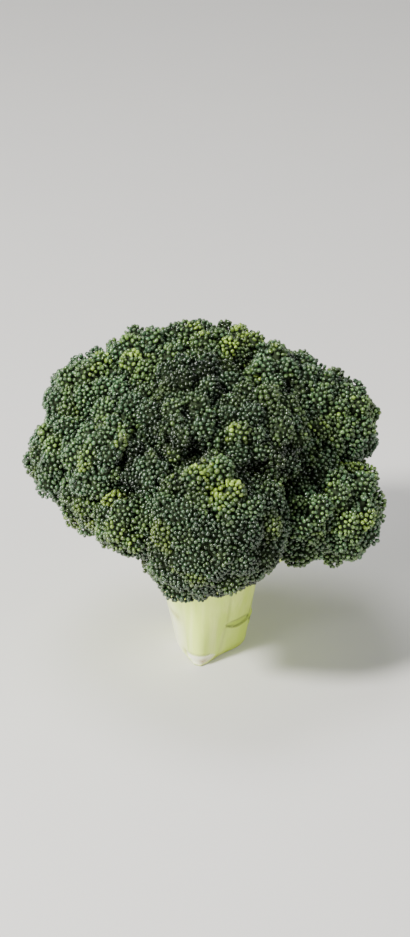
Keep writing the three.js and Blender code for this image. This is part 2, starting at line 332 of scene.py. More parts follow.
@dataclass
class DomeForm:
    """The outer surface of one floret: its distance from the centre in every direction.

    The dome, the lobes on it and the flat sides where it presses on its neighbours are those of
    the solid. The umbels, small rounded groups of buds, are finer. Millimetres.
    """

    place: FloretPlace
    others: list[FloretPlace]
    number: int
    branching: Branching = field(default_factory=Branching)
    shoulder: float = 4.0
    underside: float = 0.42
    crease: float = 0.3
    lobe_pitch: float = 14.0
    lobe_span: float = 0.62
    lobe_rise: float = 2.6
    umbel_radii: tuple[float, float] = (2.4, 5.4)
    umbel_tries: int = 900
    umbel_closeness: float = 0.93
    umbel_rise: float = 5.0
    umbel_sunk: float = 3.2
    umbel_uneven: float = 0.7
    wave_rise: float = 3.2
    calm_below: tuple[float, float] = (0.35, 0.8)
    hollows: tuple[Hollow, ...] = HOLLOWS
    rim_dents: tuple[Hollow, ...] = RIM_DENTS
    ripe_places: tuple[RipePlace, ...] = RIPE_PLACES

    def __post_init__(self) -> None:
        """Places the sides, lobes and umbels."""
        radius = self.place.radius_mm
        self.random = np.random.default_rng(700 + self.number)
        self.axis = self.branching.axis(self.place)
        outs, distances = [-self.axis], [self.underside * radius]
        for other in self.others:
            between = other.centre - self.place.centre
            apart = float(np.linalg.norm(between))
            outs.append(between / apart)
            lens = (apart**2 + radius**2 - other.radius_mm**2) / (2 * apart)
            distances.append(lens - self.crease)
        self.outs = np.array(outs)
        self.distances = np.array(distances)
        count = spiral_count(radius, self.lobe_pitch)
        self.lobes = spiral_directions(count, self.axis, first_random(101 + self.number) * 6)
        self.place_umbels()
        self.waves = self.random.normal(0, 3.2, (9, 3)) * radius / 20
        self.wave_starts = self.random.uniform(0, 2 * math.pi, 9)

    def place_umbels(self) -> None:
        """Packs umbels of differing widths over the dome, mostly the wide ones first."""
        random = self.random
        tries = unit(random.normal(0, 1, (self.umbel_tries, 3)))
        radii = random.uniform(*self.umbel_radii, self.umbel_tries)
        order = np.argsort(-radii * random.normal(1, 0.25, self.umbel_tries))
        tries, radii = tries[order], radii[order]
        kept = thin_out(tries * self.place.radius_mm, 2 * radii, self.umbel_closeness)
        self.umbels = tries[kept]
        self.umbel_radius = radii[kept]
        self.umbel_height = self.umbel_rise * (0.5 + 0.5 * radii[kept] / self.umbel_radii[1])
        self.umbel_lift = random.normal(0, self.umbel_uneven, len(kept))

    def reach(self, directions: Array, sink: float = 0.0) -> tuple[Array, Array]:
        """Distance to the flat sides.

        Args:
            directions: Unit directions from the centre.
            sink: How much further out the underside lies than in the solid.

        Returns:
            The distance in each direction, and whether the underside is what is met first.
        """
        distances = self.distances + np.where(np.arange(len(self.distances)) == 0, sink, 0)
        along = directions @ self.outs.T
        with np.errstate(divide="ignore"):
            reach = np.where(along > 1e-6, distances / np.maximum(along, 1e-6), np.inf)
        return reach.min(axis=1), reach.argmin(axis=1) == 0

    def away_from(self, directions: Array, middles: Array) -> Array:
        """How far along the dome each direction is from each middle one, in millimetres."""
        return self.place.radius_mm * np.arccos(np.clip(directions @ middles.T, -1, 1))

    def relief(self, directions: Array, inset: float = 0.0) -> Array:
        """Height of the umbels.

        Args:
            directions: Unit directions from the centre.
            inset: How much narrower than they are the umbels are taken to be.

        Returns:
            The height in each direction, in millimetres, from the mean of the umbels' relief.
        """
        share = self.away_from(directions, self.umbels) / (self.umbel_radius - inset)
        caps = np.sqrt(np.maximum(1 - share**2, 0)) * self.umbel_height + self.umbel_lift
        height = np.where(share < 1, caps, 0).max(axis=1) - self.umbel_sunk
        calm = self.place.calm * (1 - smoothstep(directions[:, 2], *self.calm_below))
        return height * (1 - calm)

    def swell(self, directions: Array, inset: float = 0.0) -> Array:
        """Height above the plain dome.

        Args:
            directions: Unit directions from the centre.
            inset: How much narrower than they are the umbels are taken to be.

        Returns:
            The height of the lobes, umbels and slow waves, in millimetres.
        """
        span = self.lobe_span * self.lobe_pitch
        lobes = 1 - (self.away_from(directions, self.lobes).min(axis=1) / span) ** 2
        waves = np.cos(directions @ self.waves.T + self.wave_starts).mean(axis=1)
        slow = self.lobe_rise * np.maximum(lobes, 0) + self.wave_rise * waves
        return slow + self.relief(directions, inset)

    def ripeness(self, directions: Array) -> Array:
        """How near to opening the buds are in each direction, from 0 to 1."""
        points = self.place.centre + directions * self.place.radius_mm
        ripe = np.zeros(len(directions))
        for spot in self.ripe_places:
            away = np.linalg.norm(points - np.array(spot.at), axis=1)
            ripe = np.maximum(ripe, spot.share * np.exp(-((away / (0.6 * spot.width)) ** 2)))
        return ripe

    def hollow(self, directions: Array, only_pits: bool = False) -> Array:
        """How deep the hollows are in each direction, less the swellings.

        Args:
            directions: Unit directions from the centre.
            only_pits: Whether to leave out the crown's rim.

        Returns:
            The depth in each direction, in millimetres.
        """
        points = self.place.centre + directions * self.place.radius_mm
        deepest = np.zeros(len(directions))
        highest = np.zeros(len(directions))
        for hollow in self.hollows if only_pits else self.hollows + self.rim_dents:
            away = np.linalg.norm(points - np.array(hollow.at), axis=1)
            depth = hollow.depth * np.exp(-((away / (0.6 * hollow.width)) ** 2))
            deepest = np.maximum(deepest, depth)
            highest = np.minimum(highest, depth)
        return deepest + highest

    def distance(
        self, directions: Array, rise: float = 0.0, sink: float = 0.0, inset: float = 0.0
    ) -> Array:
        """Distance of the surface from the centre.

        Args:
            directions: Unit directions from the centre.
            rise: How far outside the surface, on the dome and its neighbours' sides.
            sink: How much further out the underside lies.
            inset: How much narrower than they are the umbels are taken to be.

        Returns:
            The distance in each direction, in millimetres.
        """
        dome = self.place.radius_mm + self.swell(directions, inset) + rise
        flat, under = self.reach(directions, sink)
        flat = flat + np.where(under, 0, rise)
        near = np.maximum(self.shoulder - np.abs(dome - flat), 0) / self.shoulder
        rounded = np.minimum(dome, flat) - near**2 * self.shoulder / 4
        return np.maximum(rounded - self.hollow(directions), 1.0)

    def depth(self, directions: Array) -> Array:
        """How far below the tops of the umbels around it each place is, in millimetres."""
        dome = self.place.radius_mm + self.swell(directions)
        top = self.umbel_rise - self.umbel_sunk
        return top - self.relief(directions) + dome - self.distance(directions)

    def points(self, directions: Array) -> Array:
        """Points of the surface, in millimetres."""
        return self.place.centre + directions * self.distance(directions)[:, None]

    def normals(self, directions: Array) -> Array:
        """Outward directions square to the surface."""
        step = 0.9 / self.place.radius_mm
        frames = basis_along(directions)
        here = self.points(directions)
        ways = [
            self.points(unit(directions + step * frames[:, k])) - here for k in (0, 1)
        ]
        return unit(np.cross(*ways))


@dataclass(frozen=True)
class BudShape:
    """One closed flower bud of width 2 and its turned profile, as (radius, height) pairs."""

    sides: int = 8
    profile: tuple[tuple[float, float], ...] = (
        (0.0, 1.2),
        (0.62, 0.95),
        (1.0, 0.2),
        (0.0, -1.3),
    )

    def points(self) -> Array:
        """The tip, the rings from the top down, and the base point."""
        angle = np.arange(self.sides) * 2 * math.pi / self.sides
        rings = [
            np.stack([r * np.cos(angle), r * np.sin(angle), np.full(self.sides, h)], axis=1)
            for r, h in self.profile[1:-1]
        ]
        tip, base = [[0, 0, self.profile[0][1]]], [[0, 0, self.profile[-1][1]]]
        return np.concatenate([tip, *rings, base])

    def faces(self) -> list[tuple[int, ...]]:
        """Corner numbers of each face, anticlockwise from outside."""
        turns = [(n, (n + 1) % self.sides) for n in range(self.sides)]
        levels = len(self.profile) - 2
        base = 1 + levels * self.sides
        faces: list[tuple[int, ...]] = [(0, 1 + a, 1 + b) for a, b in turns]
        for level in range(levels - 1):
            top = 1 + level * self.sides
            low = top + self.sides
            faces += [(top + a, low + a, low + b, top + b) for a, b in turns]
        last = base - self.sides
        return faces + [(base, last + b, last + a) for a, b in turns]

    def flat_places(self) -> list[tuple[float, float]]:
        """Where each face corner lies on the bud pressed flat, from (0, 0) to (1, 1)."""
        places = []
        base = 1 + (len(self.profile) - 2) * self.sides
        for face_number, face in enumerate(self.faces()):
            for corner in face:
                middle = (face_number % self.sides + 0.5) * 2 * math.pi / self.sides
                ring, turn = divmod(corner - 1, self.sides)
                angle = turn * 2 * math.pi / self.sides
                out = 0.16 * (ring + 1)
                if corner == 0:
                    angle, out = middle, 0.0
                if corner == base:
                    angle, out = middle, 0.49
                places.append((0.5 + out * math.cos(angle), 0.5 + out * math.sin(angle)))
        return places


@dataclass
class MeshParts:
    """Points, faces and values of a mesh, gathered before it is made."""

    points: Array
    corners: Array
    face_sizes: Array
    flat: Array
    material: int
    values: dict[str, Array]

    @staticmethod
    def joined(parts: list["MeshParts"]) -> "MeshParts":
        """All the parts as one, with the material number of each face under "material"."""
        starts = np.cumsum([0] + [len(part.points) for part in parts])
        values = {
            key: np.concatenate([part.values[key] for part in parts]) for key in parts[0].values
        }
        values["material"] = np.concatenate(
            [np.full(len(part.face_sizes), part.material) for part in parts]
        )
        return MeshParts(
            np.concatenate([part.points for part in parts]),
            np.concatenate([part.corners + start for part, start in zip(parts, starts)]),
            np.concatenate([part.face_sizes for part in parts]),
            np.concatenate([part.flat for part in parts]),
            0,
            values,
        )


def add_values(mesh: bpy.types.Mesh, name: str, values: Array) -> None:
    """Stores one value or vector a point on a mesh.

    Args:
        mesh: The mesh.
        name: What the material calls the values.
        values: One row a point, of 3 numbers, or one number a point.
    """
    kind = "FLOAT_VECTOR" if values.ndim == 2 else "FLOAT"
    layer = mesh.attributes.new(name, kind, "POINT")
    key = "vector" if values.ndim == 2 else "value"
    layer.data.foreach_set(key, values.astype(np.float32).ravel())


def make_mesh(name: str, parts: MeshParts) -> bpy.types.Mesh:
    """Makes a smooth-shaded mesh.

    Args:
        name: Its name.
        parts: What it is made of, in millimetres.

    Returns:
        The mesh, in metres.
    """
    mesh = bpy.data.meshes.new(name)
    mesh.vertices.add(len(parts.points))
    mesh.vertices.foreach_set("co", (parts.points * MM).astype(np.float32).ravel())
    mesh.loops.add(len(parts.corners))
    mesh.loops.foreach_set("vertex_index", parts.corners.astype(np.int32))
    mesh.polygons.add(len(parts.face_sizes))
    starts = np.concatenate([[0], np.cumsum(parts.face_sizes)[:-1]])
    mesh.polygons.foreach_set("loop_start", starts.astype(np.int32))
    mesh.polygons.foreach_set("material_index", parts.values["material"].astype(np.int32))
    mesh.update(calc_edges=True)
    layer = mesh.uv_layers.new(name="OFBake")
    layer.uv.foreach_set("vector", parts.flat.astype(np.float32).ravel())
    for key, values in parts.values.items():
        if key != "material":
            add_values(mesh, key, values)
    mesh.shade_smooth()
    mesh.validate()
    return mesh


class Finish:
    """A node material under construction, with short ways to add to it."""

    def __init__(self, name: str) -> None:
        """Starts a material with one Principled shader."""
        self.material = bpy.data.materials.new(name)
        self.material.use_nodes = True
        self.tree = self.material.node_tree
        self.shader = self.tree.nodes["Principled BSDF"]

    def node(self, kind: str, **settings: object) -> bpy.types.Node:
        """Adds a node with these settings."""
        made = self.tree.nodes.new(kind)
        for key, value in settings.items():
            setattr(made, key, value)
        return made

    def feed(self, socket: Socket, value: object) -> None:
        """Links another socket into this one, or sets its value."""
        if isinstance(value, bpy.types.NodeSocket):
            self.tree.links.new(value, socket)
        else:
            socket.default_value = value

    def set(self, **values: object) -> None:
        """Sets or links the shader's own sockets, named with underscores for spaces."""
        for key, value in values.items():
            self.feed(self.shader.inputs[key.replace("_", " ")], value)

    def sum(self, kind: str, *values: object, clamp: bool = False) -> Socket:
        """A Math node of this kind over these values."""
        made = self.node("ShaderNodeMath", operation=kind, use_clamp=clamp)
        for socket, value in zip(made.inputs, values):
            self.feed(socket, value)
        return made.outputs[0]

    def step(self, value: object, low: float, high: float, to: tuple[float, float]) -> Socket:
        """A soft step from to[0] to to[1] while value goes from low to high."""
        made = self.node("ShaderNodeMapRange", interpolation_type="SMOOTHSTEP")
        for socket, number in zip(made.inputs, (value, low, high, *to)):
            self.feed(socket, number)
        return made.outputs[0]

    def mix(self, share: object, first: object, second: object, kind: str = "MIX") -> Socket:
        """Two colours mixed by share."""
        made = self.node("ShaderNodeMix", data_type="RGBA", blend_type=kind)
        for number, value in ((0, share), (6, first), (7, second)):
            self.feed(made.inputs[number], value)
        return made.outputs[2]

    def place(self, stretch: Point = (1, 1, 1)) -> Socket:
        """The point's own place on the object, in metres, stretched."""
        made = self.node("ShaderNodeMapping")
        self.feed(made.inputs["Vector"], self.node("ShaderNodeTexCoord").outputs["Object"])
        made.inputs["Scale"].default_value = stretch
        return made.outputs[0]

    def noise(self, vector: Socket, grain_mm: float, detail: float = 2.0) -> Socket:
        """Noise from 0 to 1 with grains this wide."""
        made = self.node("ShaderNodeTexNoise")
        self.feed(made.inputs["Vector"], vector)
        made.inputs["Scale"].default_value = 1 / (grain_mm * MM)
        made.inputs["Detail"].default_value = detail
        return made.outputs["Fac"]

    def stored(self, name: str) -> tuple[Socket, Socket, Socket]:
        """The three numbers that the mesh stores under this name."""
        made = self.node("ShaderNodeSeparateXYZ")
        source = self.node("ShaderNodeAttribute", attribute_name=name)
        self.feed(made.inputs[0], source.outputs["Vector"])
        return made.outputs[0], made.outputs[1], made.outputs[2]

    def bump(self, height: Socket, depth_mm: float, strength: float = 1.0) -> None:
        """Raises the surface's look by height, up to this depth."""
        made = self.node("ShaderNodeBump")
        made.inputs["Strength"].default_value = strength
        made.inputs["Distance"].default_value = depth_mm * MM
        self.feed(made.inputs["Height"], height)
        self.feed(self.shader.inputs["Normal"], made.outputs[0])


@dataclass(frozen=True)
class BudFinish:
    """Closed waxy buds: bluish to yellow-green, with painted shade low down and along the sepals' seams, and a
    painted highlight on their tips.
    """

    blue: Colour = (0.036, 0.084, 0.038, 1)
    green: Colour = (0.066, 0.124, 0.027, 1)
    yellow: Colour = (0.25, 0.38, 0.045, 1)
    # root: painted shade on the lower part of each bud, where the gaps between buds are dark
    root: Colour = (0.034, 0.054, 0.020, 1)
    # pale tips: a painted highlight, lighter towards each bud's top
    painted_tip_highlight: Colour = (0.30, 0.40, 0.17, 1)
    painted_tip_highlight_share: float = 0.2
    roughness: tuple[float, float] = (0.13, 0.28)
    sheen: float = 0.75

    def make(self) -> bpy.types.Material:
        """Builds the material."""
        made = Finish("broccoli_buds")
        tint, shade, _ = made.stored("bud_tone_and_shade")
        x, y, z = made.stored("bud_local")
        spread = made.noise(made.place(), 1.1, 3.0)
        tint = made.sum("ADD", tint, made.sum("MULTIPLY_ADD", spread, 0.3, -0.15), clamp=True)
        low = made.mix(made.step(tint, 0.0, 0.5, (0, 1)), self.blue, self.green)
        colour = made.mix(made.step(tint, 0.45, 1.0, (0, 1)), low, self.yellow)
        least = made.sum("MINIMUM", made.sum("ABSOLUTE", x), made.sum("ABSOLUTE", y))
        near_tip = made.step(z, 0.35, 0.9, (0, 1))
        seam = made.sum("MULTIPLY", made.step(least, 0.03, 0.16, (1, 0)), near_tip)
        height = made.step(z, -0.9, 0.6, (0, 1))
        # painted highlight: the tips of the buds turn pale
        colour = made.mix(made.step(z, 0.55, 1.25, (0, self.painted_tip_highlight_share)), colour, self.painted_tip_highlight)
        # painted shade along the sepals' seams
        light = made.sum("MULTIPLY", shade, made.sum("MULTIPLY_ADD", seam, -0.4, 1.0))
        grey = made.node("ShaderNodeCombineColor")
        for socket in grey.inputs[:3]:
            made.feed(socket, light)
        colour = made.mix(1.0, colour, grey.outputs[0], "MULTIPLY")
        # painted shade: the root colour low down on each bud
        colour = made.mix(height, self.root, colour)
        made.set(
            Base_Color=colour,
            Roughness=made.step(spread, 0.2, 0.8, self.roughness),
            Specular_IOR_Level=self.sheen,
        )
        made.bump(made.sum("MULTIPLY_ADD", seam, -1.0, spread), 0.08, 0.5)
        return made.material


@dataclass(frozen=True)
class CoreFinish:
    """The plant between and below the buds: nearly black painted shade in the gaps, pale green underneath."""

    # deep: nearly black, painted shade where the core shows in the gaps between buds
    deep: Colour = (0.024, 0.036, 0.016, 1)
    stem: Colour = (0.34, 0.44, 0.17, 1)
    roughness: float = 0.85
    sheen: float = 0.15

    def make(self) -> bpy.types.Material:
        """Builds the material."""
        made = Finish("broccoli_core")
        pale, _, _ = made.stored("bud_tone_and_shade")
        grain = made.noise(made.place(), 1.6, 4.0)
        share = made.sum("MULTIPLY", pale, made.step(grain, 0.2, 0.8, (0.65, 1.0)))
        made.set(
            # painted shade: the deep colour wherever the core is not pale
            Base_Color=made.mix(share, self.deep, self.stem),
            Roughness=self.roughness,
            Specular_IOR_Level=self.sheen,
        )
        made.bump(grain, 0.3, 0.6)
        return made.material


@dataclass
class FloretMaker:
    """Makes one floret piece: its buds, set umbel by umbel, and the core below them."""

    form: DomeForm
    branches: list[tuple[Array, float]]
    bud: BudShape = field(default_factory=BudShape)
    bud_pitch: float = 1.85
    closeness: float = 0.80
    ripe_swelling: float = 0.3
    lean: float = 0.3
    uneven: float = 0.25
    flattening: float = 0.12
    fill: int = 6
    crease_depth: float = 8.0
    rim_depth: float = 3.0
    clear_of_branch: float = 1.2
    core_depth: float = 1.4
    core_inset: float = 1.1
    core_turns: int = 96
    core_levels: int = 52
    core_strip: float = 0.14

    def candidates(self) -> tuple[Array, Array, Array]:
        """Places where a bud may grow.

        Returns:
            Unit directions, the buds' widths in millimetres, and how far out in its umbel each
            bud is, from 0 to 1. Those in the umbels' spirals come first, from the middle out.
        """
        form, random = self.form, self.form.random
        radius = form.place.radius_mm
        steps = np.arange(1, 40)
        frames = basis_along(form.umbels)
        out = self.bud_pitch * 0.525 * np.sqrt(steps - 0.5) / radius
        twist = random.uniform(0, 2 * math.pi, len(form.umbels))
        angle = steps[:, None] * GOLDEN_ANGLE + twist
        spiral = (
            np.cos(angle)[..., None] * frames[:, 0] + np.sin(angle)[..., None] * frames[:, 1]
        )
        spiral = unit(form.umbels + spiral * out[:, None, None])
        growth = np.clip(out[:, None] * radius / form.umbel_radius, 0, 1)
        loose = unit(random.normal(0, 1, (self.fill * spiral_count(radius, self.bud_pitch), 3)))
        directions = np.concatenate([spiral.reshape(-1, 3), loose])
        own = np.tile(np.arange(len(form.umbels)), len(steps))
        inside = (growth < 1).ravel()
        growth = np.concatenate([growth.ravel(), np.full(len(loose), 0.8)])
        group = random.normal(1, 0.06, len(form.umbels))
        group = np.concatenate([group[own], np.ones(len(loose))])
        sizes = self.bud_pitch * group * (0.76 + 0.32 * growth)
        sizes *= np.clip(random.normal(1, 0.11, len(sizes)), 0.75, 1.4)
        sizes *= 1 + self.ripe_swelling * form.ripeness(directions)
        keep = np.concatenate([inside, np.ones(len(loose), bool)])
        return directions[keep], sizes[keep], growth[keep]

    def grows(self, directions: Array, points: Array) -> Array:
        """Whether each place is open to the light, and not on the underside or a branch."""
        form = self.form
        dome = form.place.radius_mm + form.swell(directions)
        depth = dome - form.hollow(directions) - form.distance(directions)
        _, under = form.reach(directions)
        shown = depth < np.where(under, self.rim_depth, self.crease_depth)
        for path, thickness in self.branches:
            gaps = np.linalg.norm(points[:, None] - path[None], axis=2).min(axis=1)
            shown &= gaps > thickness + self.clear_of_branch
        return shown

    def bud_parts(self) -> MeshParts:
        """Every bud of the floret, each on its own patch of the flat map."""
        form, random = self.form, self.form.random
        directions, sizes, growth = self.candidates()
        points = form.points(directions)
        shown = self.grows(directions, points)
        directions, sizes, growth, points = (
            values[shown] for values in (directions, sizes, growth, points)
        )
        kept = thin_out(points, sizes, self.closeness)
        directions, sizes, growth, points = (
            values[kept] for values in (directions, sizes, growth, points)
        )
        count = len(points)
        normals = unit(form.normals(directions) + random.normal(0, self.lean, (count, 3)))
        points = points + normals * random.normal(0, self.uneven, (count, 1))
        shape = self.bud.points()
        frames = basis_along(normals)
        turn = random.uniform(0, 2 * math.pi, count)
        cos, sin = np.cos(turn)[:, None], np.sin(turn)[:, None]
        first = cos * frames[:, 0] + sin * frames[:, 1]
        second = -sin * frames[:, 0] + cos * frames[:, 1]
        width = sizes / 2 * random.uniform(0.98, 1.08, count)
        tall = width * random.uniform(0.95, 1.4, count)
        oval = np.exp(random.normal(0, self.flattening, count))
        tall *= 1 + self.ripe_swelling * form.ripeness(directions)
        spots = (
            points[:, None]
            + shape[None, :, 0:1] * (first * (width * oval)[:, None])[:, None]
            + shape[None, :, 1:2] * (second * (width / oval)[:, None])[:, None]
            + shape[None, :, 2:3] * (normals * tall[:, None])[:, None]
        )
        faces = self.bud.faces()
        corners = np.concatenate(faces)
        offsets = np.arange(count)[:, None] * len(shape)
        tones = self.tones(directions, points, growth)
        across = math.ceil(math.sqrt(count))
        cell = np.stack([np.arange(count) % across, np.arange(count) // across], axis=1)
        flat = (cell[:, None] + np.array(self.bud.flat_places())[None]) / across
        flat[..., 1] *= 1 - self.core_strip
        return MeshParts(
            spots.reshape(-1, 3),
            (corners[None] + offsets).ravel(),
            np.tile([len(face) for face in faces], count),
            flat.reshape(-1, 2),
            Part.BUD.value,
            {
                "bud_local": np.tile(shape, (count, 1)),
                "bud_tone_and_shade": np.repeat(tones, len(shape), axis=0),
            },
        )

    def tones(self, directions: Array, points: Array, growth: Array) -> Array:
        """The colour of each bud.

        Args:
            directions: Where the buds are, from the floret's centre.
            points: The same as points, in millimetres.
            growth: How far out in its umbel each bud is.

        Returns:
            Rows of how yellow the bud is, how light, with painted shade in creases and pits, and a spare
            number.
        """
        form, random = self.form, self.form.random
        nearest = (directions @ form.umbels.T).argmax(axis=1)
        yellower = random.normal(0, 0.17, len(form.umbels))[nearest]
        lighter = random.normal(0, 0.2, len(form.umbels))[nearest]
        ripe = form.ripeness(directions)
        slow = np.cos(points @ form.random.normal(0, 0.22, (3, 5)) + np.arange(5)).mean(axis=1)
        yellow = form.place.yellow + yellower + 0.15 * slow + 0.52 * ripe
        yellow += random.normal(0, 0.12, len(points)) * (1 + 2.5 * ripe) - 0.1 * (growth - 0.5)
        # the floret's lightness is partly its own tone, partly painted light and shade
        light = form.place.light + lighter + 0.35 * ripe
        light *= np.exp(random.normal(-0.1, 0.3, len(points)))
        # painted shade: darker the deeper a bud sits below the umbel tops around it
        light *= 1 - 0.58 * smoothstep(form.depth(directions), 1.5, 7.5)
        # painted shade: darker in the pits between groups of buds
        light *= 1 - 0.5 * smoothstep(form.hollow(directions, only_pits=True), 1.0, 5.0)
        return np.stack([np.clip(yellow, 0, 1), light, growth], axis=1)

    def core_parts(self) -> MeshParts:
        """The core: the dome's own surface a little deeper, closed at its flat sides."""
        form = self.form
        turns, levels = self.core_turns, self.core_levels
        polar = np.linspace(0, math.pi, levels + 1)[1:-1]
        angle = np.arange(turns) * 2 * math.pi / turns
        ring = np.stack([np.cos(angle), np.sin(angle)], axis=1)
        local = [
            np.concatenate([math.sin(p) * ring, np.full((turns, 1), math.cos(p))], axis=1)
            for p in polar
        ]
        local = np.concatenate([[[0, 0, 1]], *local, [[0, 0, -1]]])
        directions = local @ basis_along(form.axis)
        away = form.distance(directions, -self.core_depth, 0.6, self.core_inset)
        points = form.place.centre + directions * away[:, None]
        dome = form.place.radius_mm + form.swell(directions) - form.hollow(directions)
        _, under = form.reach(directions)
        bare = smoothstep(dome - away, self.rim_depth + 0.8, self.rim_depth + 2.4)
        # where the core is not pale it keeps the painted shade of the gaps
        pale = np.where(under, bare, 0.45 * smoothstep(dome - away, 9, 16))
        faces, flat = [], []
        top, low = 1 - self.core_strip * 0.97, 1.0
        base = len(points) - 1
        for n in range(turns):
            after = (n + 1) % turns
            left, right = n / turns, (n + 1) / turns
            middle = (left + right) / 2
            faces.append((0, 1 + n, 1 + after))
            flat += [(middle, top), (left, top + 0.01), (right, top + 0.01)]
            last = base - turns
            faces.append((base, last + after, last + n))
            flat += [(middle, low), (right, low - 0.01), (left, low - 0.01)]
            for level in range(levels - 2):
                high = 1 + level * turns
                deep = high + turns
                faces.append((high + n, deep + n, deep + after, high + after))
                up, down = (
                    top + 0.01 + (low - top - 0.02) * k / (levels - 2) for k in (level, level + 1)
                )
                flat += [(left, up), (left, down), (right, down), (right, up)]
        tone = np.stack([pale, np.ones(len(pale)), np.zeros(len(pale))], axis=1)
        return MeshParts(
            points,
            np.concatenate(faces),
            np.array([len(face) for face in faces]),
            np.array(flat),
            Part.CORE.value,
            {"bud_local": np.tile([0.0, 0.0, -1.0], (len(points), 1)), "bud_tone_and_shade": tone},
        )

    def build(self, finishes: list[bpy.types.Material]) -> bpy.types.Object:
        """Makes the piece and puts it in the place of its solid."""
        name = self.form.place.name
        parts = MeshParts.joined([self.bud_parts(), self.core_parts()])
        mesh = make_mesh(f"buds_{name}", parts)
        for finish in finishes:
            mesh.materials.append(finish)
        return put_in_place(mesh, f"floret_{name}")


def put_in_place(mesh: bpy.types.Mesh, node: str) -> bpy.types.Object:
    """Makes a piece of the mesh, in the place of a solid.

    Args:
        mesh: The piece's mesh, named as the piece is to be.
        node: The solid it stands for.

    Returns:
        The piece.
    """
    piece = bpy.data.objects.new(mesh.name, mesh)
    bpy.context.scene.collection.objects.link(piece)
    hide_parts(node)
    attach(piece, "root")
    LOG.info("%s: %d points, %d faces", piece.name, len(mesh.vertices), len(mesh.polygons))
    return piece


@dataclass
class Crown:
    """All the florets."""

    places: tuple[FloretPlace, ...] = FLORETS
    branching: Branching = field(default_factory=Branching)

    def build(self) -> list[bpy.types.Object]:
        """Makes every floret piece."""
        finishes = [BudFinish().make(), CoreFinish().make()]
        branches = {
            place.name: (
                self.branching.path(place, 0.42, 24)[4:],
                self.branching.thickness * place.radius_mm,
            )
            for place in self.places
        }
        pieces = []
        for number, place in enumerate(self.places):
            others = [other for other in self.places if other is not place]
            form = DomeForm(place, others, number, self.branching)
            near = [branches[other.name] for other in others]
            pieces.append(FloretMaker(form, near).build(finishes))
        return pieces


@dataclass(frozen=True)
class LeafScar:
    """The lens-shaped mark of a leaf on the stem: its side, height and size. Millimetres.

    Its bed is green skin, or bare and pale, and its edges are more or less dark.
    """

    turn: float
    height: float
    width: float
    tall: float
    tilt: float
    depth: float
    dark: float = 1.0
    bare: bool = False


@dataclass(frozen=True)
class Groove:
    """A thin line down the stem, from one side and height to another. Millimetres."""

    top: tuple[float, float]
    foot: tuple[float, float]
    width: float
    depth: float
    dark: float


@dataclass(frozen=True)
class Smudge:
    """A soft patch on the stem: its side, height and size, and how olive or brown it is."""

    turn: float
    height: float
    width: float
    tall: float
    olive: float = 0.0
    brown: float = 0.0


@dataclass(frozen=True)
class StalkFinish:
    """Fresh stem skin: pale green with fine streaks along it, a painted highlight down its left side, and a
    paler moist cut.
    """

    skin: Colour = (0.68, 0.86, 0.13, 1)
    light: Colour = (0.86, 0.96, 0.30, 1)
    # pale: a painted highlight down the stalk's left side, and the bare leaf scars' own pale beds
    pale: Colour = (0.98, 0.98, 0.80, 1)
    fresh: Colour = (0.52, 0.68, 0.06, 1)
    crease: Colour = (0.12, 0.16, 0.04, 1)
    brown: Colour = (0.40, 0.25, 0.11, 1)
    olive: Colour = (0.42, 0.46, 0.08, 1)
    pith: Colour = (0.84, 0.87, 0.62, 1)
    roughness: tuple[float, float] = (0.32, 0.5)

    def make(self) -> bpy.types.Material:
        """Builds the material."""
        made = Finish("broccoli_stalk")
        pale, green, crease = made.stored("stalk_tone_and_highlight")
        cut, brown, olive = made.stored("stalk_marks")
        band = made.noise(made.place((1, 1, 0.05)), 4.5, 2.0)
        streak = made.noise(made.place((1, 1, 0.06)), 1.1, 4.0)
        cloud = made.noise(made.place((1, 1, 0.4)), 9.0, 3.0)
        speck = made.noise(made.place(), 0.6, 2.0)
        colour = made.mix(made.step(band, 0.35, 0.68, (0, 0.8)), self.skin, self.light)
        colour = made.mix(made.step(streak, 0.45, 0.8, (0, 0.3)), colour, self.fresh)
        colour = made.mix(made.step(cloud, 0.4, 0.75, (0, 0.3)), colour, self.fresh)
        # painted highlight and bare scars: the pale colour
        colour = made.mix(pale, colour, self.pale)
        colour = made.mix(green, colour, self.fresh)
        colour = made.mix(cut, colour, self.pith)
        colour = made.mix(made.sum("MULTIPLY", olive, made.step(speck, 0.3, 0.6, (0.6, 1))), colour, self.olive)
        colour = made.mix(made.sum("MULTIPLY", brown, made.step(speck, 0.3, 0.6, (0.5, 1))), colour, self.brown)
        colour = made.mix(crease, colour, self.crease)
        made.set(
            Base_Color=colour,
            Roughness=made.step(cloud, 0.2, 0.8, self.roughness),
            Specular_IOR_Level=0.5,
            Subsurface_Weight=0.12,
            Subsurface_Radius=(0.004, 0.005, 0.002),
            Subsurface_Scale=0.5,
        )
        made.bump(made.sum("MULTIPLY_ADD", speck, 0.25, streak), 0.12, 0.45)
        return made.material


